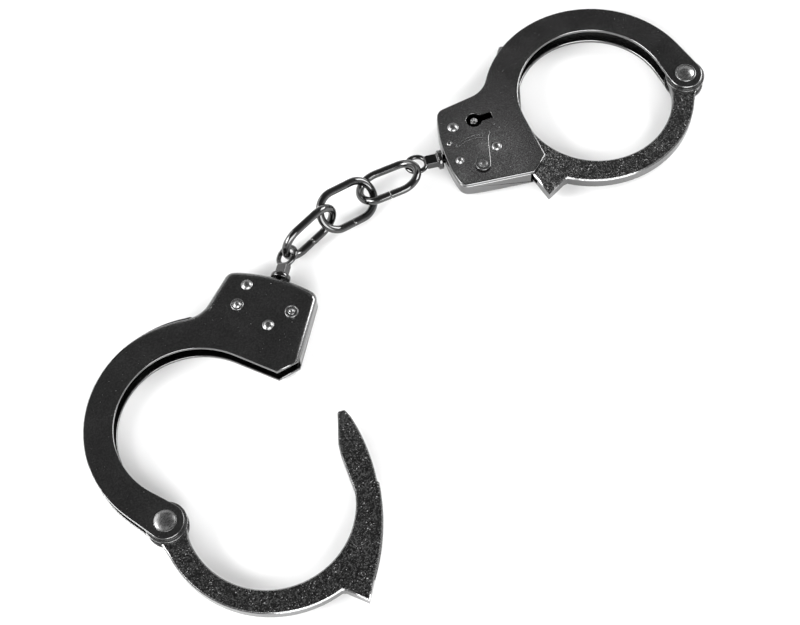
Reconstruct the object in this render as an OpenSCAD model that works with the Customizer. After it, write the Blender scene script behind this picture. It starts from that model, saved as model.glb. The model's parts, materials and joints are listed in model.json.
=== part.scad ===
// Pair of handcuffs: one cuff closed and face up, the other open and face down,
// joined by a short chain. Each cuff is drawn about its own wrist centre, with its
// hinge on +X and its face on +Z, and is then laid in its place at one end of the chain.

/* [Cheeks] */
// Radius of the wrist opening at the cheeks' inner edge
wrist_r = 26.7; // [26.4:0.1:27]
// Radius of the cheeks' outer edge
cheek_r = 38.9; // [38.5:0.1:39.3]
// Radius of the cheeks' round end at the hinge
hinge_end_r = 6.05; // [5.8:0.05:6.2]
// Distance from the wrist centre to the hinge
hinge_x = 34; // [33.8:0.1:34.2]
// Thickness of each cheek plate
plate_t = 1.4; // [1.2:0.1:1.6]
// Space between the two cheek plates
gap_t = 5; // [5:0.1:5.4]

/* [Bow] */
// Thickness of the swinging bow
bow_t = 4.4; // [4:0.1:4.4]
// Radius of the bow's toothed edge about the hinge
sweep_r = 68.6; // [68.4:0.1:68.8]
// Angle that the open cuff's bow is swung away from closed
open_angle = 66.4; // [40:0.2:90]
// Number of ratchet teeth in the bow's groove
tooth_count = 14; // [10:1:16]
// Depth of a ratchet tooth
tooth_h = 1.2; // [0.8:0.1:1.4]

/* [Lock] */
// Radius of the post that a hollow key turns on
post_r = 1.25; // [1.1:0.05:1.3]
// Radius of the round part of the keyhole
keyhole_r = 2.8; // [2.6:0.1:2.9]
// Thickness of the pawl plate
pawl_t = 1.8; // [1.4:0.1:1.8]
// Radius of the shaft that carries lever and pawl
shaft_r = 1.5; // [1.4:0.05:1.6]
// Wire thickness of the pawl spring
spring_wire = 0.6; // [0.5:0.05:0.7]

/* [Chain] */
// Wire thickness of a link
link_wire = 2.8; // [2.6:0.1:2.9]
// Outside length of a link
link_l = 24.6; // [24:0.1:25]
// Outside width of a link
link_w = 16.2; // [15.8:0.1:16.6]
// Radius of a swivel eye's ring, to the middle of its wire
eye_r = 3.55; // [3.5:0.05:3.6]
// Thickness of a swivel eye's wire
eye_wire = 1.7; // [1.6:0.1:1.8]

/* [Finish] */
// Colour of the plated steel
steel = "#2e2d2e"; // [#2e2d2e, #3a3a3c, #1f1f20]
// Colour of the rivets, links and swivels
bright = "#8a8a8c"; // [#8a8a8c, #a0a0a0, #6f6f72]

/* [Hidden] */
$fn = 64;
wire_sides = 24;

// Clearances
fixed_gap = 0.02;      // a rivet in its own plates
run_gap = 0.05;        // a shaft that turns in its hole
cut = 1;               // how far a cutter runs past a face

// Heights in a cuff, counted from its middle plane
gap_z = gap_t / 2;
face_z = gap_z + plate_t;

// Cheek outline: centres of its arcs, and the corners of the lock case
hinge = [hinge_x, 0];
cheek_c = [-0.7, -2.3];
waist_a = 155.5;                   // where the cheek's outer edge turns into the waist
waist_r = 10;
waist_c = cheek_c + (cheek_r + waist_r) * [cos(waist_a), sin(waist_a)];
shoulder_a = 283;                  // where the waist turns into the case's shoulder
back_c = [-2.2, -8];
back_r = 55.4;
back_from = 170;                   // the case's back edge, as angles about its centre
back_to = 196;
back_top_a = 168;                  // where the corners' sides aim at the back edge
back_low_a = 198;
case_bottom = -27.2;
corner_r = 3.6;
top_side_in = 1.4;                 // how far in from the back edge the corners' sides meet
low_corner_in = 3.2;
mouth_out = [-28.6, case_bottom];  // where the bow enters, outer side
mouth_in = [-23, -21.4];           // where the bow enters, wrist side
case_wall = 1.4;

// Bow outline, in the closed position
bow_in_c = [0.9, -0.9];
bow_in_r = 27.3;
bow_out_c = [-0.7, 1];
bow_out_r = 37.15;
bow_hinge_r = 6.3;
bow_waist = 0.2;                   // how far the bow is thinned under each hinge washer
bow_out_from = 244;                // its arcs, as angles about their centres
bow_out_to = 342;
bow_in_from = 352;
bow_in_to = 181;
notch = [-18.3, -32.7];
stop_tip = [-24.8, -37.3];
tip_inside = [[-24.1, 11.7], [-23.9, 15.5], [-25.1, 24]];
tip_in_c = [-26.3, 26];          // round corners of the bow's blunt tip
tip_out_c = [-27.5, 26.1];
tip_r = 0.9;
tip_edge_r = 68;                // the tip's outer edge about the hinge
tip_edge_from = 159;
tip_edge_to = 179.3;
sweep_low = 206.5;                   // toothed edge, as angles about the hinge
sweep_high = 180;
groove_w = 2.2;
groove_from = tip_edge_to + 0.1;
tooth_tip_r = sweep_r - 0.7;
tooth_root_r = tooth_tip_r - tooth_h;
tooth_pitch = (sweep_low - groove_from) / tooth_count;

// Places of the small parts in a cuff
back_rivet_p = [-52, -3];
mid_rivet_p = [-39, -14];
keeper_p = [-52.7, -16.8];
post_p = [-44.1, -1.8];
lever_p = [-45.2, -20.5];
lever_tip_p = [-41.3, -8.4];
bump_p = [-54.7, -9.1];
swivel_y = -12.6;
eye_x = -67.4;
slot_a = 8;                        // the keyhole's slot
slot_l = 6.8;
slot_w = 2.7;
track_r = 11.9;                    // shallow track that the lever's tip runs along
track_w = 1;
track_depth = 0.2;
track_from = 74;
track_to = 128;

// Rivets
hinge_rivet_r = 2.2;
hinge_head_r = 3.7;
case_rivet_r = 1.1;
case_head_r = 1.95;
post_head_r = 2.2;
post_shank_r = 0.9;
post_drop = 0.3;                   // how far the post stays under the face
keeper_r = 0.8;
keeper_head_r = 1.5;
bump_r = 0.9;                      // small raised mark on the face
bump_h = 0.45;
head_h = 1.1;
washer_r = 6.9;
washer_play = 0.4;
washer_t = bow_waist + (gap_t - bow_t) / 2 - run_gap;

// Swivel, along its own axis from the case outwards
swivel_shank_r = 1.6;
swivel_head_r = 2.2;
swivel_hole_l = 6;
swivel_head_x = [-55.6, -54.3];
collar_r = 3.4;
collar_x = [-59.8, -58.1];
neck_w = 4.3;
neck_t = 2.6;
neck_in = 0.2;                     // how far the neck runs into the collar

// Where the cuffs and links lie: the x axis runs from the open cuff to the closed one
spread = 184.29;
mid_z = face_z + head_h;
closed_turn = -30.54;
closed_angle = -1;                 // how far the closed bow is turned in past its drawn place
open_turn = -145.82;
closed_eye_tilt = -12;
open_eye_tilt = 33;
centre_shift = [-0.05, 21.99];
link_place = [[[-18.66, 27.5, 8.48], [85.9, -3.1, 2.2]],
              [[-1.6, 27.2, 6.93], [42.2, 11.1, -7.2]],
              [[14.7, 23.7, 7.6], [-18.9, -17.1, -29]]];

// ---- Outlines ----

// Points of an arc from angle a0 to angle a1 about c
function arc(c, r, a0, a1, step = 4) =
    let (n = max(1, ceil(abs(a1 - a0) / step)))
    [for (i = [0:n]) c + r * [cos(a0 + (a1 - a0) * i / n), sin(a0 + (a1 - a0) * i / n)]];

function bearing(v) = atan2(v[1], v[0]);

// Angles of a round corner of radius r at p, between the points before and after it
function corner(before, p, after, r) =
    let (u = (before - p) / norm(before - p), v = (after - p) / norm(after - p),
         half = acos(u * v) / 2, c = p + (u + v) / norm(u + v) * r / sin(half),
         a0 = bearing(p + u * r / tan(half) - c), a1 = bearing(p + v * r / tan(half) - c))
    arc(c, r, a0, a1 < a0 ? a1 + 360 : a1, 15);

// The cheeks: hinge end, outer edge, waist, shoulder, back, mouth and wrist edge
cross_a = acos((wrist_r + hinge_end_r) / hinge_x);
outer_v = hinge - cheek_c;
outer_a = bearing(outer_v) + acos((cheek_r - hinge_end_r) / norm(outer_v));
shoulder_p = waist_c + waist_r * [cos(shoulder_a), sin(shoulder_a)];
case_left = back_c[0] - back_r;
top_side = shoulder_p[1] - (shoulder_p[0] - case_left) * tan(shoulder_a - 270);
back_top = back_c + back_r * [cos(back_top_a), sin(back_top_a)];
back_low = back_c + back_r * [cos(back_low_a), sin(back_low_a)];
mouth_a = bearing(mouth_in) + 360 - acos(wrist_r / norm(mouth_in));
cheek_outline = concat(
    arc(hinge, hinge_end_r, cross_a - 180, outer_a, 8),
    arc(cheek_c, cheek_r, outer_a, waist_a),
    arc(waist_c, waist_r, waist_a + 180, shoulder_a, 8),
    corner(shoulder_p, [case_left + top_side_in, top_side], back_top, corner_r),
    arc(back_c, back_r, back_from, back_to, 3),
    corner(back_low, [case_left + low_corner_in, case_bottom], mouth_out, corner_r),
    [mouth_out, mouth_in],
    arc([0, 0], wrist_r, mouth_a, cross_a));

// The bow: hinge end, wrist edge, bevelled tip, toothed edge, stop tooth and back
bow_end = [-62, 192];              // the bow's round end, as angles about the hinge
bow_outline = concat(
    arc(bow_out_c, bow_out_r, bow_out_from, bow_out_to),
    arc(hinge, bow_hinge_r, bow_end[0], bow_end[1], 8),
    arc(bow_in_c, bow_in_r, bow_in_from, bow_in_to),
    tip_inside,
    arc(tip_in_c, tip_r, 10, 90, 16),
    arc(tip_out_c, tip_r, 90, 160, 14),
    arc(hinge, tip_edge_r, tip_edge_from, tip_edge_to, 2),
    arc(hinge, sweep_r, sweep_high, sweep_low, 2),
    [stop_tip, notch]);

module slab(z0, z1) {
    translate([0, 0, z0]) linear_extrude(z1 - z0) children();
}

module peg(p, r, z0, z1) {
    translate([p[0], p[1], z0]) cylinder(r = r, h = z1 - z0);
}

// Domed head of radius r and height h, standing on its base plane
module dome(r, h) {
    ball = (r * r + h * h) / (2 * h);
    intersection() {
        translate([0, 0, h - ball]) sphere(r = ball);
        cylinder(r = r, h = h + cut);
    }
}

module front_dome(p, r) {
    translate([p[0], p[1], face_z]) dome(r, head_h);
}

module rear_dome(p, r) {
    translate([p[0], p[1], -face_z]) mirror([0, 0, 1]) dome(r, head_h);
}

// ---- Sub-parts of one cuff ----

module front_plate() {
    color(steel) difference() {
        union() {
            slab(gap_z, face_z) polygon(cheek_outline);
            translate([bump_p[0], bump_p[1], face_z]) dome(bump_r, bump_h);
        }
        peg(hinge, hinge_rivet_r + fixed_gap, gap_z - cut, face_z + cut);
        for (p = [back_rivet_p, mid_rivet_p])
            peg(p, case_rivet_r + fixed_gap, gap_z - cut, face_z + cut);
        peg(keeper_p, keeper_r + fixed_gap, gap_z - cut, face_z + cut);
        peg(lever_p, shaft_r + run_gap, gap_z - cut, face_z + cut);
        keyhole();
        lever_track();
    }
}

module keyhole() {
    peg(post_p, keyhole_r, gap_z - cut, face_z + cut);
    translate([post_p[0], post_p[1], gap_z - cut]) rotate([0, 0, slot_a])
        translate([0, -slot_w / 2, 0]) cube([slot_l, slot_w, plate_t + 2 * cut]);
}

module lever_track() {
    translate([lever_p[0], lever_p[1], face_z - track_depth])
        rotate([0, 0, track_from]) rotate_extrude(angle = track_to - track_from)
            translate([track_r - track_w / 2, 0]) square([track_w, track_depth + cut]);
}

// Where the case has no side wall: the strand, the mouth and the way out for the bow's tip
module open_side() {
    far = 60;
    mouth_x = -29.6;
    inner_x = -37;
    polygon([[mouth_x, -far], [far, -far], [far, far], [inner_x, far], [inner_x, -10], [mouth_x, -20]]);
}

module rear_shell() {
    color(steel) difference() {
        slab(-face_z, gap_z) polygon(cheek_outline);
        slab(-gap_z, gap_z + cut) union() {
            offset(delta = -case_wall) polygon(cheek_outline);
            open_side();
        }
        peg(hinge, hinge_rivet_r + fixed_gap, -face_z - cut, 0);
        for (p = [back_rivet_p, mid_rivet_p])
            peg(p, case_rivet_r + fixed_gap, -face_z - cut, 0);
        peg(post_p, post_shank_r + fixed_gap, -face_z - cut, 0);
        peg(lever_p, shaft_r + run_gap, -face_z - cut, 0);
        translate([case_left - cut, swivel_y, 0]) rotate([0, 90, 0])
            cylinder(r = swivel_shank_r + run_gap, h = swivel_hole_l);
    }
}

module bow() {
    color(steel) difference() {
        slab(-bow_t / 2, bow_t / 2) polygon(bow_outline);
        slab(-groove_w / 2, groove_w / 2) polygon(groove_outline);
        peg(hinge, hinge_rivet_r + run_gap, -gap_z, gap_z);
        for (side = [-1, 1])
            translate([hinge[0], hinge[1], side * bow_t / 2])
                cylinder(r = washer_r + washer_play, h = 2 * bow_waist, center = true);
    }
}

// Groove along the toothed edge, with ratchet teeth on its floor: each rises slowly away
// from the bow's tip and then drops steeply
tooth_slope = 0.94;
groove_outline = concat(
    [for (i = [0:tooth_count - 1], k = [0, 1])
        let (r = k == 0 ? tooth_root_r : tooth_tip_r, a = groove_from + tooth_pitch * (i + k * tooth_slope))
        hinge + r * [cos(a), sin(a)]],
    arc(hinge, sweep_r + cut, sweep_low, groove_from));

module hinge_rivet() {
    color(bright) {
        peg(hinge, hinge_rivet_r, -face_z, face_z);
        front_dome(hinge, hinge_head_r);
        rear_dome(hinge, hinge_head_r);
    }
}

module hinge_washers() {
    color(bright) for (z = [-gap_z, gap_z - washer_t]) difference() {
        peg(hinge, washer_r, z, z + washer_t);
        peg(hinge, hinge_rivet_r + fixed_gap, z - cut, z + washer_t + cut);
    }
}

module case_rivet(p) {
    color(bright) {
        peg(p, case_rivet_r, -face_z, face_z);
        front_dome(p, case_head_r);
        rear_dome(p, case_head_r);
    }
}

module keeper_pin() {
    color(bright) {
        peg(keeper_p, keeper_r, -gap_z, face_z);
        front_dome(keeper_p, keeper_head_r);
    }
}

// Key post, whose thinner shank is riveted through the rear wall
module key_post() {
    color(bright) {
        peg(post_p, post_shank_r, -face_z, -gap_z);
        peg(post_p, post_r, -gap_z, face_z - post_drop);
        rear_dome(post_p, post_head_r);
    }
}

// Stamped pawl: its hub is fixed on the lever shaft and its arm passes round the mid rivet
pawl_hub_r = 3.1;
pawl_nose_r = sweep_r - 0.45;
pawl_nose = [191, 188.4];
pawl_hook = [[-41.9, -16.6], [-41.6, -13.4], [-40.4, -12.2], [-35.6, -12.2], [-33.4, -13.2]];
pawl_back = [[-34.6, -8.6], [-39.8, -7.6], [-44.6, -9.4], [-47.2, -14]];
pawl_outline = concat(
    arc(lever_p, pawl_hub_r, 170, 372, 12),
    pawl_hook,
    arc(hinge, pawl_nose_r, pawl_nose[0], pawl_nose[1], 1.3),
    pawl_back);

module pawl() {
    color(bright) difference() {
        slab(-pawl_t / 2, pawl_t / 2) polygon(pawl_outline);
        peg(lever_p, shaft_r + fixed_gap, -gap_z, gap_z);
    }
}

// Torsion spring: turns round the back rivet, one leg on the pawl and one on the case
coil_r = case_rivet_r + 0.5 + spring_wire / 2;
coil_pitch = 0.9 * spring_wire;
pawl_leg_a = -64.5;
pawl_leg_l = 9.2;
case_leg_a = -94;
case_leg_l = 6;

module pawl_spring() {
    color(bright) translate([back_rivet_p[0], back_rivet_p[1], 0]) {
        for (i = [-1, 0, 1]) translate([0, 0, i * coil_pitch])
            rotate_extrude() translate([coil_r, 0]) circle(d = spring_wire, $fn = wire_sides);
        spring_leg(coil_r, pawl_leg_a, pawl_leg_l, 0);
        spring_leg(-coil_r, case_leg_a, case_leg_l, -coil_pitch);
    }
}

module spring_leg(from, aim, length, z) {
    translate([from, 0, z]) rotate([0, 0, aim]) rotate([0, 90, 0])
        cylinder(d = spring_wire, h = length, $fn = wire_sides);
}

// Lever on the face: wide at its shaft, with a narrower neck and a round knob at its tip
lever_wide_r = 2.7;
lever_knob_r = 1.5;
lever_neck = [2.4, 1.1];           // how far the neck is from the knob's middle, and its half width
lever_lift = 0.1;

module release_lever() {
    run = lever_tip_p - lever_p;
    lean = bearing(run);
    along = run / norm(run);
    across = [-along[1], along[0]];
    side = acos((lever_wide_r - lever_neck[1]) / (norm(run) - lever_neck[0]));
    neck = lever_tip_p - lever_neck[0] * along;
    knob_half = 128;
    color(bright) difference() {
        slab(face_z + lever_lift, face_z + head_h) polygon(concat(
            arc(lever_p, lever_wide_r, lean + side, lean - side + 360, 12),
            [neck - lever_neck[1] * across],
            arc(lever_tip_p, lever_knob_r, lean - knob_half, lean + knob_half, 16),
            [neck + lever_neck[1] * across]));
        peg(lever_p, shaft_r + fixed_gap, face_z, face_z + head_h + cut);
    }
}

// Shaft with a wide end behind the case: a rim, and a boss in the middle of its hollow
shaft_end_r = 2.3;
shaft_rim = 0.5;
shaft_boss_r = 1.1;

module lever_shaft() {
    end_z = -face_z - head_h + lever_lift;
    color(bright) {
        peg(lever_p, shaft_r, -face_z - lever_lift, face_z + head_h);
        difference() {
            peg(lever_p, shaft_end_r, end_z, -face_z - lever_lift);
            difference() {
                peg(lever_p, shaft_end_r - shaft_rim, end_z - cut, -face_z - 2 * lever_lift);
                peg(lever_p, shaft_boss_r, end_z - cut, -face_z);
            }
        }
    }
}

module swivel(tilt) {
    color(bright) translate([0, swivel_y, 0]) rotate([tilt, 0, 0]) difference() {
        union() {
            axle(swivel_shank_r, collar_x[1], swivel_head_x[1]);
            axle(swivel_head_r, swivel_head_x[0], swivel_head_x[1]);
            axle(collar_r, collar_x[0], collar_x[1]);
            translate([eye_x + eye_r, -neck_w / 2, -neck_t / 2])
                cube([collar_x[0] - eye_x - eye_r + neck_in, neck_w, neck_t]);
            translate([eye_x, 0, 0]) rotate_extrude()
                translate([eye_r, 0]) circle(d = eye_wire, $fn = wire_sides);
        }
        translate([eye_x, 0, -neck_t]) cylinder(r = eye_r - eye_wire / 2, h = 2 * neck_t);
    }
}

module axle(r, x0, x1) {
    translate([x0, 0, 0]) rotate([0, 90, 0]) cylinder(r = r, h = x1 - x0);
}

// ---- Chain ----

module link(i) {
    bend_r = (link_w - link_wire) / 2;
    straight = link_l - link_w;
    color(bright) lay_link(i) {
        for (side = [-1, 1]) {
            translate([side * straight / 2, 0, 0]) rotate([0, 0, side * 90 - 180])
                rotate_extrude(angle = 180) translate([bend_r, 0]) circle(d = link_wire, $fn = wire_sides);
            translate([-straight / 2, side * bend_r, 0]) rotate([0, 90, 0])
                cylinder(d = link_wire, h = straight, $fn = wire_sides);
        }
    }
}

module lay_link(i) {
    place = link_place[i - 1][0];
    turn = link_place[i - 1][1];
    translate(place) rotate([0, 0, turn[2]]) rotate([0, turn[1], 0]) rotate([turn[0], 0, 0]) children();
}

// ---- Places ----

module lay_closed() {
    translate([spread / 2, 0, mid_z]) rotate([0, 0, closed_turn]) children();
}

module lay_open() {
    translate([-spread / 2, 0, mid_z]) rotate([0, 0, open_turn]) rotate([180, 0, 0]) children();
}

module swing_bow(angle) {
    translate(hinge) rotate([0, 0, angle]) translate(-hinge) children();
}

module in_frame() {
    translate([centre_shift[0], centre_shift[1], 0]) children();
}

in_frame() lay_closed() front_plate();  // closed_front_plate
in_frame() lay_closed() rear_shell();  // closed_rear_shell
in_frame() lay_closed() swing_bow(closed_angle) bow();  // closed_bow
in_frame() lay_closed() hinge_rivet();  // closed_hinge_rivet
in_frame() lay_closed() hinge_washers();  // closed_hinge_washers
in_frame() lay_closed() case_rivet(back_rivet_p);  // closed_back_rivet
in_frame() lay_closed() case_rivet(mid_rivet_p);  // closed_mid_rivet
in_frame() lay_closed() keeper_pin();  // closed_keeper_pin
in_frame() lay_closed() key_post();  // closed_key_post
in_frame() lay_closed() pawl();  // closed_pawl
in_frame() lay_closed() pawl_spring();  // closed_pawl_spring
in_frame() lay_closed() release_lever();  // closed_release_lever
in_frame() lay_closed() lever_shaft();  // closed_lever_shaft
in_frame() lay_closed() swivel(closed_eye_tilt);  // closed_swivel
in_frame() link(1);  // link_1
in_frame() link(2);  // link_2
in_frame() link(3);  // link_3
in_frame() lay_open() front_plate();  // open_front_plate
in_frame() lay_open() rear_shell();  // open_rear_shell
in_frame() lay_open() swing_bow(open_angle) bow();  // open_bow
in_frame() lay_open() hinge_rivet();  // open_hinge_rivet
in_frame() lay_open() hinge_washers();  // open_hinge_washers
in_frame() lay_open() case_rivet(back_rivet_p);  // open_back_rivet
in_frame() lay_open() case_rivet(mid_rivet_p);  // open_mid_rivet
in_frame() lay_open() keeper_pin();  // open_keeper_pin
in_frame() lay_open() key_post();  // open_key_post
in_frame() lay_open() pawl();  // open_pawl
in_frame() lay_open() pawl_spring();  // open_pawl_spring
in_frame() lay_open() release_lever();  // open_release_lever
in_frame() lay_open() lever_shaft();  // open_lever_shaft
in_frame() lay_open() swivel(open_eye_tilt);  // open_swivel
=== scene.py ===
import json
import math

import bmesh
import bpy
import numpy as np
from mathutils import Matrix, Vector

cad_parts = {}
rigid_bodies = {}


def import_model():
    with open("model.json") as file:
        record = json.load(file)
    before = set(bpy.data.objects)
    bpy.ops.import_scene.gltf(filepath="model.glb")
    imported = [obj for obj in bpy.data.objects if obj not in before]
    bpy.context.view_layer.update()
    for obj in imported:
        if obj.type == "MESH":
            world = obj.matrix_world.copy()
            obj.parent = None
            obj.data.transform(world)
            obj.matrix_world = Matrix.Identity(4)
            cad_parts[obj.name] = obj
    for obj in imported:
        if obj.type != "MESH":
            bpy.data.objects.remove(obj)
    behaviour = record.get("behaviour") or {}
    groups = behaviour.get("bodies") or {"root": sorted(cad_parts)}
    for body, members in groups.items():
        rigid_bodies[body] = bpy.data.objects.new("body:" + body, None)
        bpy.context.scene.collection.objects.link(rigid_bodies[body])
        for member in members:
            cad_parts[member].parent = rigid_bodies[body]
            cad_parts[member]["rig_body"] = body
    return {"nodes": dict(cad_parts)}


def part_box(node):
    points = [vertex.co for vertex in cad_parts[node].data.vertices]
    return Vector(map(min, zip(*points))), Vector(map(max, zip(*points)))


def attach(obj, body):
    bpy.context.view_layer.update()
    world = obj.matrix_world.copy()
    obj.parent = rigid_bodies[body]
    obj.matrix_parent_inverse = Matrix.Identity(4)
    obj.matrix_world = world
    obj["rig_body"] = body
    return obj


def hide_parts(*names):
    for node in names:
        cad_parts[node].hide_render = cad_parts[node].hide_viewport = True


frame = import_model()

MM = 0.001
UP = Vector((0, 0, 1))
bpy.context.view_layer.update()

# Sizes in millimetres, in a cuff's own frame: wrist centre at the origin, hinge on +X, face on +Z
HINGE = Vector((34.0, 0.0))
BACK_RIVET = Vector((-52.0, -3.0))
FACE_Z = 3.9
GAP_Z = 2.5
BOW_Z = 2.2
LEVER_Z = 4.5
LEVER_BORE = 1.8


def box_middle(node):
    low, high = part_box(node)
    return (low + high) / 2


def cuff_frame(prefix, face_up):
    """Matrix from a cuff's own frame (mm) to the row frame (m), found from two of its rivets."""
    hinge, back = box_middle(prefix + "hinge_rivet"), box_middle(prefix + "back_rivet")
    side = 1 if face_up else -1
    seen = math.atan2(hinge.y - back.y, hinge.x - back.x)
    own = math.atan2(side * (HINGE.y - BACK_RIVET.y), HINGE.x - BACK_RIVET.x)
    turn = Matrix.Rotation(seen - own, 4, "Z")
    flip = Matrix.Diagonal((1, side, side, 1))
    scale = Matrix.Scale(MM, 4)
    offset = hinge - turn @ flip @ scale @ Vector((HINGE.x, HINGE.y, 0))
    return Matrix.Translation(offset) @ turn @ flip @ scale


CUFFS = {"closed_": cuff_frame("closed_", True), "open_": cuff_frame("open_", False)}


# ---- Materials ----

class Shader:
    """A material's node tree, with short ways to add and join nodes."""

    def __init__(self, name):
        self.material = bpy.data.materials.new(name)
        self.material.use_nodes = True
        self.tree = self.material.node_tree
        self.bsdf = self.tree.nodes["Principled BSDF"]

    def add(self, kind, inputs=None, **settings):
        node = self.tree.nodes.new("ShaderNode" + kind)
        for key, value in settings.items():
            setattr(node, key, value)
        for key, value in (inputs or {}).items():
            self.put(node, key, value)
        return node

    def put(self, node, key, value):
        if isinstance(value, bpy.types.NodeSocket):
            self.tree.links.new(value, node.inputs[key])
        else:
            node.inputs[key].default_value = value

    def noise(self, place, scale, detail=3, rough=0.6):
        node = self.add("TexNoise", {"Vector": place, "Scale": scale, "Detail": detail, "Roughness": rough})
        return node.outputs["Fac"]

    def ramp(self, value, low, high, to_low=0.0, to_high=1.0):
        node = self.add("MapRange", {"Value": value, "From Min": low, "From Max": high,
                                     "To Min": to_low, "To Max": to_high}, interpolation_type="SMOOTHSTEP")
        return node.outputs["Result"]

    def math(self, operation, a, b):
        node = self.add("Math", operation=operation)
        self.put(node, 0, a)
        self.put(node, 1, b)
        return node.outputs[0]

    def mix(self, factor, a, b):
        node = self.add("Mix", data_type="RGBA")
        self.put(node, "Factor", factor)
        self.put(node, 6, a)
        self.put(node, 7, b)
        return node.outputs[2]


def grey(level, warm=0.0):
    return (level * (1 + warm), level, level * (1 - warm), 1)


def plating(name, base, speckled, rough):
    """Dark nickel plating: cloudy depth, a fine grain, small bright specks, rubbed edges that also carry a
    painted highlight, and sides painted lighter as painted light.
    """
    s = Shader(name)
    place = s.add("TexCoord").outputs["Object"]
    cloud = s.noise(place, 90, 4)
    colour = s.mix(cloud, grey(base * 0.8), grey(base * 1.25))
    # dark and light grain all over
    grain = s.noise(place, 1900, 3, 0.6)
    colour = s.mix(s.ramp(grain, 0.4, 0.6, 0.55 + 0.5 * speckled, 0.0), colour, grey(base * 0.3))
    fine = s.noise(place, 2300, 2, 0.5)
    colour = s.mix(s.ramp(fine, 0.5, 0.6, 0.0, 0.85 * speckled), colour, grey(0.6))
    # bright specks where a fine noise peaks above a level that varies from patch to patch
    patch = s.noise(place, 260, 3)
    level = s.ramp(patch, 0.35, 0.65, 0.75 - 0.03 * speckled, 0.75 - 0.14 * speckled)
    speck = s.ramp(s.math("SUBTRACT", s.noise(place, 1900, 2, 0.5), level), 0.0, 0.06)
    colour = s.mix(s.math("MULTIPLY", speck, 0.7), colour, grey(0.6))
    # rubbed edges, from the angle between the surface and a rounded copy of it: partly real wear that shows
    # lighter metal, partly a painted highlight that brightens the edges
    rounded = s.add("Bevel", {"Radius": 0.35 * MM}, samples=6)
    bent = s.add("VectorMath", operation="DOT_PRODUCT")
    s.put(bent, 0, rounded.outputs["Normal"])
    s.put(bent, 1, s.add("NewGeometry").outputs["Normal"])
    worn_edge_and_painted_highlight = s.ramp(bent.outputs["Value"], 0.995, 0.86, 0.0, 0.5)
    colour = s.mix(worn_edge_and_painted_highlight, colour, grey(0.8))
    # painted light: the sides are painted a little brighter than the flat faces, standing in for the grey
    # reflection of the white floor on them
    direction = s.add("SeparateXYZ", {"Vector": s.add("TexCoord").outputs["Normal"]})
    flat = s.math("ABSOLUTE", direction.outputs["Z"], 0.0)
    colour = s.mix(s.ramp(flat, 0.55, 0.97), grey(base * 1.15), colour)
    s.put(s.bsdf, "Base Color", colour)
    s.put(s.bsdf, "Metallic", 1.0)
    roughness = s.math("ADD", s.ramp(cloud, 0.2, 0.8, rough * 0.75, rough * 1.3),
                       s.math("MULTIPLY", speck, 0.5))
    s.put(s.bsdf, "Roughness", roughness)
    ripple = s.math("MULTIPLY", s.noise(place, 2600, 3), 0.5)
    bumps = s.math("ADD", ripple, s.math("MULTIPLY", speck, 1.5))
    bump = s.add("Bump", {"Strength": 0.35, "Distance": 0.012 * MM, "Height": bumps})
    s.put(s.bsdf, "Normal", bump.outputs["Normal"])
    return s.material


def polished(name, base, rough, scratch):
    """Polished metal with faint clouding and fine scratches."""
    s = Shader(name)
    place = s.add("TexCoord").outputs["Object"]
    cloud = s.noise(place, 220, 4)
    s.put(s.bsdf, "Base Color", s.mix(cloud, grey(base * 0.75), grey(base * 1.2)))
    s.put(s.bsdf, "Metallic", 1.0)
    stretched = s.add("Mapping", {"Vector": place, "Scale": (900, 5200, 900)}, vector_type="POINT")
    lines = s.noise(stretched.outputs["Vector"], 1, 3)
    s.put(s.bsdf, "Roughness", s.ramp(lines, 0.3, 0.7, rough * 0.7, rough * 1.5))
    bump = s.add("Bump", {"Strength": scratch, "Distance": 0.01 * MM, "Height": lines})
    s.put(s.bsdf, "Normal", bump.outputs["Normal"])
    return s.material


MATERIALS = {
    "cheek_plating": plating("cheek_plating", 0.165, 0.1, 0.18),
    "bow_plating": plating("bow_plating", 0.15, 0.85, 0.2),
    "rivet_steel": polished("rivet_steel", 0.24, 0.27, 0.05),
    "chain_plating": polished("chain_plating", 0.1, 0.08, 0.08),
    "inner_steel": polished("inner_steel", 0.35, 0.34, 0.5),
}


# ---- Mesh helpers ----

def piece(name, mesh, node, slot):
    """A finished piece that stands for a CAD node and rides on its body."""
    obj = bpy.data.objects.new(name, mesh)
    bpy.context.scene.collection.objects.link(obj)
    mesh.materials.clear()
    mesh.materials.append(MATERIALS[slot])
    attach(obj, frame["nodes"][node]["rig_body"])
    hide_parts(node)
    return obj


def mesh_from(points, faces, name, matrix=None):
    mesh = bpy.data.meshes.new(name)
    mesh.from_pydata([tuple(p) for p in points], [], faces)
    if matrix is not None:
        mesh.transform(matrix)
    bm = bmesh.new()
    bm.from_mesh(mesh)
    bmesh.ops.recalc_face_normals(bm, faces=bm.faces)
    for face in bm.faces:
        face.smooth = True
    bm.to_mesh(mesh)
    bm.free()
    return mesh


ROUND, CHAMFER = 0.5, 0.27
SHARP = math.radians(28)


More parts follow.
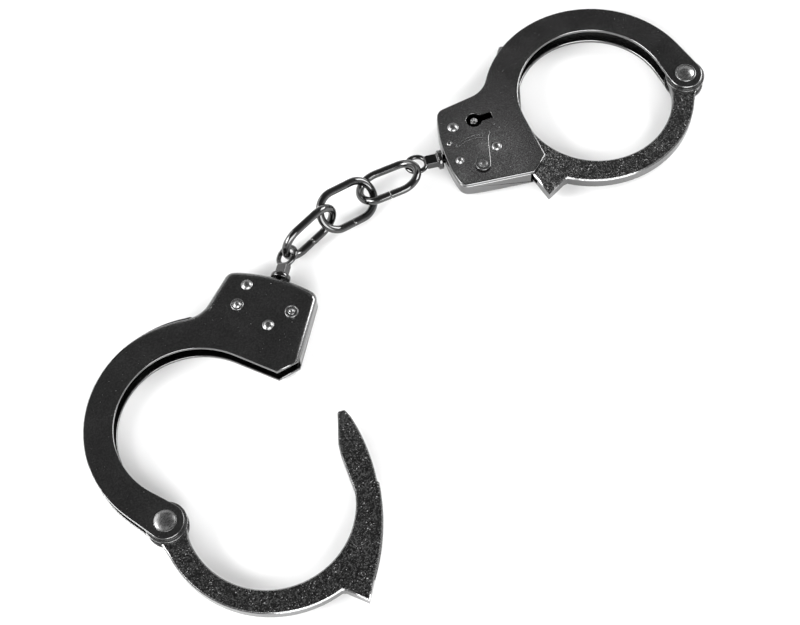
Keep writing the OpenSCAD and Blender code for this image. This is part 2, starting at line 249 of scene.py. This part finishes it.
def softened(node, slot, width_at, widest, segments=3, profile=ROUND):
    """A copy of a CAD node with eased edges: width_at gives the width of an outer edge in mm."""
    to_cuff = CUFFS[node.split("_")[0] + "_"].inverted()
    source = frame["nodes"][node].data
    mesh = bpy.data.meshes.new(node + "_look")
    mesh.from_pydata([v.co for v in source.vertices], [], [tuple(p.vertices) for p in source.polygons])
    bm = bmesh.new()
    bm.from_mesh(mesh)
    bmesh.ops.remove_doubles(bm, verts=bm.verts, dist=0.002 * MM)
    bmesh.ops.recalc_face_normals(bm, faces=bm.faces)
    bmesh.ops.dissolve_limit(bm, angle_limit=math.radians(0.6), verts=bm.verts, edges=bm.edges)
    weights = bm.edges.layers.float.new("bevel_weight_edge")
    for face in bm.faces:
        face.smooth = True
    for edge in bm.edges:
        angle = edge.calc_face_angle_signed(0.0)
        if angle > SHARP:
            middle = to_cuff @ ((edge.verts[0].co + edge.verts[1].co) / 2)
            normals = [(to_cuff.to_3x3() @ f.normal).normalized() for f in edge.link_faces]
            edge[weights] = min(1.0, width_at(middle, normals) / widest)
        edge.smooth = abs(angle) < SHARP
    bm.to_mesh(mesh)
    bm.free()
    obj = piece(node + "_look", mesh, node, slot)
    bevel = obj.modifiers.new("rounded", "BEVEL")
    bevel.limit_method = "WEIGHT"
    bevel.width = widest * MM
    bevel.segments = segments
    bevel.profile = profile
    bevel.use_clamp_overlap = False
    shade = obj.modifiers.new("flat_faces", "WEIGHTED_NORMAL")
    shade.keep_sharp = True
    shade.weight = 100
    return obj


def turned_mesh(name, profile, matrix, steps=48):
    """A turned shape: profile is a list of (radius, height) in mm, from one end of the axis to the other."""
    points, faces, rings = [], [], []
    for radius, height in profile:
        count = 1 if radius < 1e-6 else steps
        rings.append([len(points) + i % count for i in range(steps)])
        for i in range(count):
            angle = 2 * math.pi * i / steps
            points.append((radius * math.cos(angle), radius * math.sin(angle), height))
    for low, high in zip(rings, rings[1:]):
        for i in range(steps):
            corners = (low[i - 1], low[i], high[i], high[i - 1])
            faces.append(tuple(dict.fromkeys(corners)))
    return mesh_from(points, faces, name, matrix)


def cap(radius, height, base, up=1, steps=8):
    """Profile of a domed head, from its rim to its middle."""
    ball = (radius ** 2 + height ** 2) / (2 * height)
    spread = math.asin(min(1.0, radius / ball))
    if height > radius:
        spread = math.pi - spread
    angles = [spread * (1 - i / steps) for i in range(steps + 1)]
    return [(abs(ball * math.sin(a)), base + up * (ball * math.cos(a) - ball + height)) for a in angles]


def pipe(path, across, radius_at, closed, around=20):
    """Points and faces of a round wire along a path; across is a direction that never lies along it."""
    points, faces, count = [], [], len(path)
    for i, p in enumerate(path):
        after = path[(i + 1) % count] if closed or i < count - 1 else p
        before = path[i - 1] if closed or i else p
        side = (after - before).normalized().cross(across).normalized()
        up = side.cross((after - before).normalized())
        for k in range(around):
            angle = 2 * math.pi * k / around
            points.append(p + radius_at(i) * (math.cos(angle) * side + math.sin(angle) * up))
    for i in range(count if closed else count - 1):
        for k in range(around):
            j, n = (k + 1) % around, (i + 1) % count
            faces.append((i * around + k, i * around + j, n * around + j, n * around + k))
    if not closed:
        faces.append(tuple(range(around)))
        faces.append(tuple((count - 1) * around + k for k in range(around)))
    return points, faces


def joined(name, meshes):
    """One mesh from several."""
    bm = bmesh.new()
    for mesh in meshes:
        bm.from_mesh(mesh)
        bpy.data.meshes.remove(mesh)
    whole = bpy.data.meshes.new(name)
    bm.to_mesh(whole)
    bm.free()
    return whole


# ---- Cheek plates, shells and bows ----

# Widths of the eased edges
WIDE_EDGE, NARROW_EDGE = 2.4, 0.3
PLATE_EDGE, KEYHOLE_EDGE, TRACK_EDGE = 0.5, 0.14, 0.05
SEAM_EDGE, MOUTH_EDGE = 0.5, 0.45
BOW_EDGE, LEVER_EDGE, SMALL_EDGE = 0.42, 0.2, 0.12
# Where those edges are
MOUTH_OUT, MOUTH_IN = Vector((-28.6, -27.2)), Vector((-23.0, -21.4))
TRACK_R, TRACK_TOP, TRACK_LEFT = 11.9, -12.5, -54
KEYHOLE_REACH, HOLE_REACH = 7.5, 2.0
OPENING_R, HINGE_END_R = 28.2, 7.6
STRAND_X, CASE_X = 18, 38


def smooth_step(value, low, high):
    t = max(0.0, min(1.0, (value - low) / (high - low)))
    return t * t * (3 - 2 * t)


def on_track(p):
    """True on the edge of the shallow track round the lever's shaft."""
    return abs((p.xy - LEVER).length - TRACK_R) < 0.7 and p.y > TRACK_TOP and p.x > TRACK_LEFT


def on_mouth(p):
    """True on the slanted edge of the case where the bow comes in."""
    along = MOUTH_OUT - MOUTH_IN
    t = (p.xy - MOUTH_IN).dot(along) / along.length_squared
    return -0.05 < t < 1.05 and (p.xy - MOUTH_IN - t * along).length < 0.3


def is_rim(normals):
    """True for an edge between a flat face of a plate and its side."""
    return any(abs(n.z) > 0.95 for n in normals)


def near_hole(p, holes):
    """True beside a hole that a rivet's head or a turned end covers."""
    return any((p.xy - hole).length < HOLE_REACH for hole in holes)


def front_width(p, normals):
    if not is_rim(normals) or near_hole(p, FRONT_HOLES):
        return 0
    if on_track(p):
        return TRACK_EDGE
    if (p.xy - PLACES["key_post"]).length < KEYHOLE_REACH:
        return KEYHOLE_EDGE
    return PLATE_EDGE if p.z > FACE_Z - 0.05 else NARROW_EDGE


def shell_width(p, normals):
    if not is_rim(normals) or near_hole(p, PLACES.values()):
        return 0
    if p.z > -FACE_Z + 0.05:
        return SEAM_EDGE
    if on_mouth(p):
        return MOUTH_EDGE
    if p.xy.length < OPENING_R:
        return NARROW_EDGE
    return NARROW_EDGE + (WIDE_EDGE - NARROW_EDGE) * smooth_step(-p.x, STRAND_X, CASE_X)


def bow_width(p, normals):
    if is_rim(normals) and abs(p.z) > BOW_Z - 0.05 and (p.xy - HINGE).length > HINGE_END_R:
        return BOW_EDGE
    return 0


def lever_width(p, normals):
    on_top = p.z > LEVER_Z and (p.xy - LEVER).length > LEVER_BORE
    return LEVER_EDGE if is_rim(normals) and on_top else 0


def small_width(p, normals):
    return SMALL_EDGE if is_rim(normals) else 0


def own_place(prefix, part):
    return (CUFFS[prefix].inverted() @ box_middle(prefix + part)).xy


LEVER = own_place("closed_", "lever_shaft")
ROUND_PARTS = ("hinge_rivet", "back_rivet", "mid_rivet", "keeper_pin", "key_post", "lever_shaft")
PLACES = {part: own_place("closed_", part) for part in ROUND_PARTS}
FRONT_HOLES = [place for part, place in PLACES.items() if part != "key_post"]

for prefix in CUFFS:
    softened(prefix + "front_plate", "cheek_plating", front_width, PLATE_EDGE, 4)
    softened(prefix + "rear_shell", "cheek_plating", shell_width, WIDE_EDGE, 8)
    softened(prefix + "bow", "bow_plating", bow_width, BOW_EDGE, 4, CHAMFER)
    softened(prefix + "release_lever", "cheek_plating", lever_width, LEVER_EDGE)
    softened(prefix + "hinge_washers", "rivet_steel", small_width, SMALL_EDGE)
    softened(prefix + "pawl", "inner_steel", small_width, SMALL_EDGE)


# ---- Rivets, posts and shafts ----

def ringed_head(radius, height, base, up):
    """Profile of a head with a raised ring round its dome, from rim to middle."""
    ring = [(radius, 0), (radius, 0.18), (radius - 0.12, 0.36), (radius - 0.36, 0.42), (radius - 0.6, 0.28)]
    lift = 0.3
    return [(r, base + up * h) for r, h in ring] + cap(radius - 0.78, height - lift, base + up * lift, up)


def plain_head(radius, height, base, up):
    """Profile of a domed head with a low upright rim, from rim to middle."""
    lift = 0.12
    return [(radius, base), (radius, base + up * lift)] + cap(radius - 0.04, height - lift, base + up * lift, up)


HEAD = 1.1
SHANKS = {"hinge_rivet": 2.2, "back_rivet": 1.1, "mid_rivet": 1.1}
HEADS = {"hinge_rivet": 3.7, "back_rivet": 1.95, "mid_rivet": 1.95}
PROFILES = {
    part: list(reversed(plain_head(HEADS[part], HEAD, -FACE_Z, -1)))
    + [(shank, -FACE_Z), (shank, FACE_Z)]
    + (ringed_head if part == "hinge_rivet" else plain_head)(HEADS[part], HEAD, FACE_Z, 1)
    for part, shank in SHANKS.items()
}
PROFILES["keeper_pin"] = [(0, -GAP_Z), (0.8, -GAP_Z), (0.8, FACE_Z)] + plain_head(1.5, HEAD, FACE_Z, 1)
PROFILES["key_post"] = list(reversed(ringed_head(2.2, HEAD, -FACE_Z, -1))) + [
    (0.9, -FACE_Z), (0.9, -GAP_Z), (1.25, -GAP_Z), (1.25, 3.42), (1.14, 3.58), (0.98, 3.58), (0.86, 3.4),
    (0.78, 2.9), (0, 2.75)]
PROFILES["lever_shaft"] = [
    (0, -4.45), (0.55, -4.5), (0.75, -4.86), (1.1, -4.86), (1.3, -4.6), (1.35, -4.15), (1.75, -4.15),
    (1.85, -4.7), (2.05, -4.9), (2.3, -4.7), (2.3, -4.0), (1.5, -4.0), (1.5, 4.7), (1.38, 5.0),
    (0.95, 5.0), (0.75, 4.82), (0, 4.8)]

for prefix, cuff in CUFFS.items():
    for part, profile in PROFILES.items():
        at = Matrix.Translation((PLACES[part].x, PLACES[part].y, 0))
        name = prefix + part
        mesh = turned_mesh(name + "_look", profile, cuff @ at, 64 if part == "hinge_rivet" else 40)
        piece(name + "_look", mesh, name, "rivet_steel")


# ---- Pawl springs ----

SPRING_R, SPRING_RISE, SPRING_TURNS, SPRING_WIRE_R = 1.9, 0.58, 2.5, 0.3
PAWL_LEG, PAWL_LEG_TURN = 9.2, math.radians(-64.5)
CASE_LEG, CASE_LEG_TURN = 6, math.radians(-94)


def spring_path():
    """Two legs and the turns round the back rivet, in the rivet's own frame."""
    path = [Vector((SPRING_R + PAWL_LEG * t * math.cos(PAWL_LEG_TURN),
                    PAWL_LEG * t * math.sin(PAWL_LEG_TURN), 0.0)) for t in (1.0, 0.66, 0.33, 0.08)]
    steps = 60
    for i in range(steps + 1):
        angle = 2 * math.pi * SPRING_TURNS * i / steps
        height = SPRING_RISE * (0.5 - i / steps) * 2
        path.append(Vector((SPRING_R * math.cos(angle), SPRING_R * math.sin(angle), height)))
    for t in (0.08, 0.5, 1.0):
        path.append(Vector((-SPRING_R + CASE_LEG * t * math.cos(CASE_LEG_TURN),
                            CASE_LEG * t * math.sin(CASE_LEG_TURN), -SPRING_RISE)))
    return path


for prefix, cuff in CUFFS.items():
    points, faces = pipe(spring_path(), UP, lambda i: SPRING_WIRE_R, False, 12)
    at = Matrix.Translation((PLACES["back_rivet"].x, PLACES["back_rivet"].y, 0))
    name = prefix + "pawl_spring"
    piece(name + "_look", mesh_from(points, faces, name + "_look", cuff @ at), name, "inner_steel")


# ---- Swivels ----

EYE_X, EYE_R, EYE_WIRE = -67.4, 3.55, 1.7
NECK_W, NECK_T, COLLAR_END = 4.3, 2.6, 59.8
SWIVEL_TILT = {"closed_": -12, "open_": 33}
SWIVEL_Y = -12.6
SWIVEL_PROFILE = [(0, 54.3), (2.0, 54.3), (2.2, 54.5), (2.2, 55.6), (1.6, 55.6), (1.6, 58.1), (3.2, 58.1),
                  (3.4, 58.3), (3.4, 59.55), (3.2, 59.78), (2.5, COLLAR_END), (0, COLLAR_END)]


def eye_mesh():
    """Neck and eye as one rounded forging, in the swivel's own frame."""
    start, end = -COLLAR_END + 0.15, EYE_X + EYE_R - 0.4
    neck_points = []
    for x, grow in ((start, 0.35), (start - 0.6, 0), (end + 0.8, 0), (end, -0.2)):
        w, t = NECK_W / 2 + grow, NECK_T / 2 + grow
        neck_points += [(x, -w, -t), (x, w, -t), (x, w, t), (x, -w, t)]
    neck_faces = [(0, 1, 2, 3), (12, 13, 14, 15)]
    for i in range(3):
        for k in range(4):
            j = (k + 1) % 4
            neck_faces.append((4 * i + k, 4 * i + j, 4 * i + 4 + j, 4 * i + 4 + k))
    loop = [Vector((EYE_X + EYE_R * math.cos(a), EYE_R * math.sin(a), 0))
            for a in (2 * math.pi * i / 64 for i in range(64))]
    ring = pipe(loop, UP, lambda i: EYE_WIRE / 2, True, 24)
    scale = Matrix.Scale(MM, 4)
    mesh = joined("eye", [mesh_from(neck_points, neck_faces, "neck", scale), mesh_from(*ring, "ring", scale)])
    obj = bpy.data.objects.new("eye", mesh)
    bpy.context.scene.collection.objects.link(obj)
    grown = obj.modifiers.new("one_skin", "REMESH")
    grown.mode = "VOXEL"
    grown.voxel_size = 0.13 * MM
    eased = obj.modifiers.new("eased", "SMOOTH")
    eased.iterations = 5
    bpy.context.view_layer.update()
    skin = bpy.data.meshes.new_from_object(obj.evaluated_get(bpy.context.evaluated_depsgraph_get()))
    bpy.data.objects.remove(obj)
    skin.transform(Matrix.Scale(1 / MM, 4))
    for polygon in skin.polygons:
        polygon.use_smooth = True
    return skin


for prefix, cuff in CUFFS.items():
    tilt = Matrix.Rotation(math.radians(SWIVEL_TILT[prefix]), 4, "X")
    at = cuff @ Matrix.Translation((0, SWIVEL_Y, 0)) @ tilt
    eye = eye_mesh()
    eye.transform(at)
    axle = turned_mesh("axle", SWIVEL_PROFILE, at @ Matrix.Rotation(math.radians(-90), 4, "Y"), 48)
    name = prefix + "swivel"
    piece(name + "_look", joined(name + "_look", [axle, eye]), name, "chain_plating")


# ---- Links ----

LINK_L, LINK_W, LINK_WIRE = 24.6, 16.2, 2.8
SEAM_HALF, SEAM_DEPTH, SEAM_POINT = 0.2, 0.6, 2


def link_loop():
    """Centre line of a link, denser at its butt seam, which is at point SEAM_POINT."""
    bend, straight = (LINK_W - LINK_WIRE) / 2, (LINK_L - LINK_W) / 2
    path = [Vector((x, -bend, 0)) for x in (-0.5, -SEAM_HALF, 0, SEAM_HALF, 0.5)]
    path += [Vector((straight * t, -bend, 0)) for t in (0.4, 0.7)]
    for side in (1, -1):
        for i in range(33):
            a = math.pi * (i / 32 - 0.5)
            path.append(Vector((side * (straight + bend * math.cos(a)), side * bend * math.sin(a), 0)))
        if side == 1:
            path += [Vector((straight * t, bend, 0)) for t in (0.5, 0, -0.5)]
    path += [Vector((straight * t, -bend, 0)) for t in (-0.7, -0.4)]
    return path


def link_radius(i):
    return LINK_WIRE / 2 - (SEAM_DEPTH if i == SEAM_POINT else 0)


def link_frame(node):
    """A link's own frame in the row frame, from the spread of its CAD node's points."""
    points = np.array(sorted({tuple(round(c, 7) for c in v.co) for v in frame["nodes"][node].data.vertices}))
    middle = points.mean(0)
    axes = np.linalg.eigh(np.cov((points - middle).T))[1]
    long_axis, side = Vector(axes[:, 2]), Vector(axes[:, 1])
    long_axis *= 1 if long_axis.x > 0 else -1
    side *= 1 if side.y > 0 else -1
    turn = Matrix((long_axis, side, long_axis.cross(side))).transposed()
    return Matrix.Translation(middle) @ turn.to_4x4() @ Matrix.Scale(MM, 4)


for node in ("link_1", "link_2", "link_3"):
    points, faces = pipe(link_loop(), UP, link_radius, True, 28)
    piece(node + "_look", mesh_from(points, faces, node + "_look", link_frame(node)), node, "chain_plating")


# ---- Studio ----

def area_light(name, at, size, power, aim=(0, 0, 0)):
    light = bpy.data.lights.new(name, "AREA")
    light.shape = "RECTANGLE"
    light.size, light.size_y = size
    light.energy = power
    obj = bpy.data.objects.new(name, light)
    obj.location = at
    obj.rotation_euler = (Vector(aim) - Vector(at)).to_track_quat("-Z", "Y").to_euler()
    bpy.context.scene.collection.objects.link(obj)


def floor():
    size = 6.0
    corners = [(-size, -size, 0), (size, -size, 0), (size, size, 0), (-size, size, 0)]
    mesh = bpy.data.meshes.new("floor")
    mesh.from_pydata(corners, [], [(0, 1, 2, 3)])
    obj = bpy.data.objects.new("floor", mesh)
    bpy.context.scene.collection.objects.link(obj)
    s = Shader("floor_paper")
    s.put(s.bsdf, "Base Color", grey(0.9))
    s.put(s.bsdf, "Roughness", 0.9)
    s.put(s.bsdf, "Specular IOR Level", 0.1)
    mesh.materials.append(s.material)


# Brightness of the studio by the sine of the height above the horizon: a dark line at the horizon,
# two bright bands all round with a dark one between them, and a dim ceiling
SKY = (
    (0.0, 0.03), (0.08, 0.03), (0.11, 1.4), (0.17, 1.4), (0.21, 0.06), (0.27, 0.06), (0.31, 1.5),
    (0.42, 1.5), (0.48, 0.1), (0.6, 0.1), (0.68, 0.25), (0.75, 0.3), (0.8, 0.14), (0.9, 0.17), (1.0, 0.14))


def sky():
    world = bpy.data.worlds.new("studio")
    world.use_nodes = True
    bpy.context.scene.world = world
    tree = world.node_tree
    place = tree.nodes.new("ShaderNodeTexCoord")
    split = tree.nodes.new("ShaderNodeSeparateXYZ")
    tree.links.new(place.outputs["Generated"], split.inputs[0])
    ramp = tree.nodes.new("ShaderNodeValToRGB")
    stops = ramp.color_ramp.elements
    stops.remove(stops[1])
    for i, (height, level) in enumerate(SKY):
        stop = stops.new(height) if i else stops[0]
        stop.position = height
        stop.color = grey(level)
    tree.links.new(split.outputs["Z"], ramp.inputs["Fac"])
    tree.links.new(ramp.outputs["Color"], tree.nodes["Background"].inputs["Color"])


def camera():
    """Camera that looks at target from azimuth and elevation, turned by roll about its own axis."""
    azimuth, elevation, roll = math.radians(-38.94), math.radians(63.77), math.radians(4.3)
    target, distance = Vector((-17.19, 5.31, 8.9)) * MM, 532.7 * MM
    back = Vector((math.sin(azimuth) * math.cos(elevation), -math.cos(azimuth) * math.cos(elevation),
                   math.sin(elevation)))
    right = Vector((math.cos(azimuth), math.sin(azimuth), 0))
    up = back.cross(right)
    turned_right = math.cos(roll) * right - math.sin(roll) * up
    turned_up = math.sin(roll) * right + math.cos(roll) * up
    data = bpy.data.cameras.new("camera")
    data.lens, data.sensor_width = 71.91, 36
    data.clip_start = 0.01
    obj = bpy.data.objects.new("camera", data)
    obj.matrix_world = (Matrix.Translation(target + back * distance)
                        @ Matrix((turned_right, turned_up, back)).transposed().to_4x4())
    bpy.context.scene.collection.objects.link(obj)
    bpy.context.scene.camera = obj


floor()
sky()
camera()
area_light("left", (-1.1, 0.5, 0.6), (0.9, 0.6), 24)
area_light("right", (1.2, -0.3, 0.7), (0.9, 0.6), 16)
area_light("back", (-0.5, 1.25, 0.65), (0.9, 0.5), 4)
area_light("front", (-0.5, -1.15, 0.62), (1.2, 0.95), 26)
area_light("ceiling", (0.49, 0.46, 1.03), (0.06, 0.06), 0.03, (0.05, 0.02, 0))
bpy.context.scene.view_settings.view_transform = "Standard"
